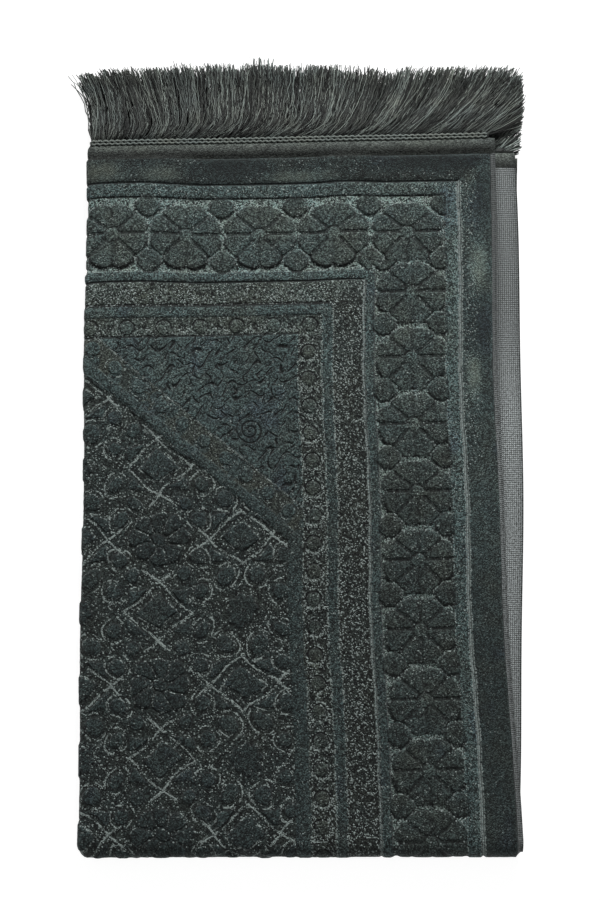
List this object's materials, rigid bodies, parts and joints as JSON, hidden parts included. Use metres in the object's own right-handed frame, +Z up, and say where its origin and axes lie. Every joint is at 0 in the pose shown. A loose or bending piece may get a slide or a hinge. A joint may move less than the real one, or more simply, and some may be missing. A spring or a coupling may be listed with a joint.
{
  "type": "prayer rug",
  "caption": "Dark grey-green plush prayer rug with carved pile and fringed ends, folded in half lengthwise and then crosswise.",
  "frame": {"origin": "middle of the folded rug's footprint, fringe included, on the surface it rests on", "axes": "+Z up, +Y towards the fringed ends, -X at the lengthwise fold, -Y at the crosswise fold"},
  "size_m": [0.3656, 0.6608, 0.0281],
  "materials": {
    "pile": "carved plush",
    "yarn": "loose twisted yarn"
  },
  "bodies": {
    "root": {"rug_cloth": "pile", "fringe_upper": "yarn", "fringe_lower": "yarn"}
  },
  "joints": []
}
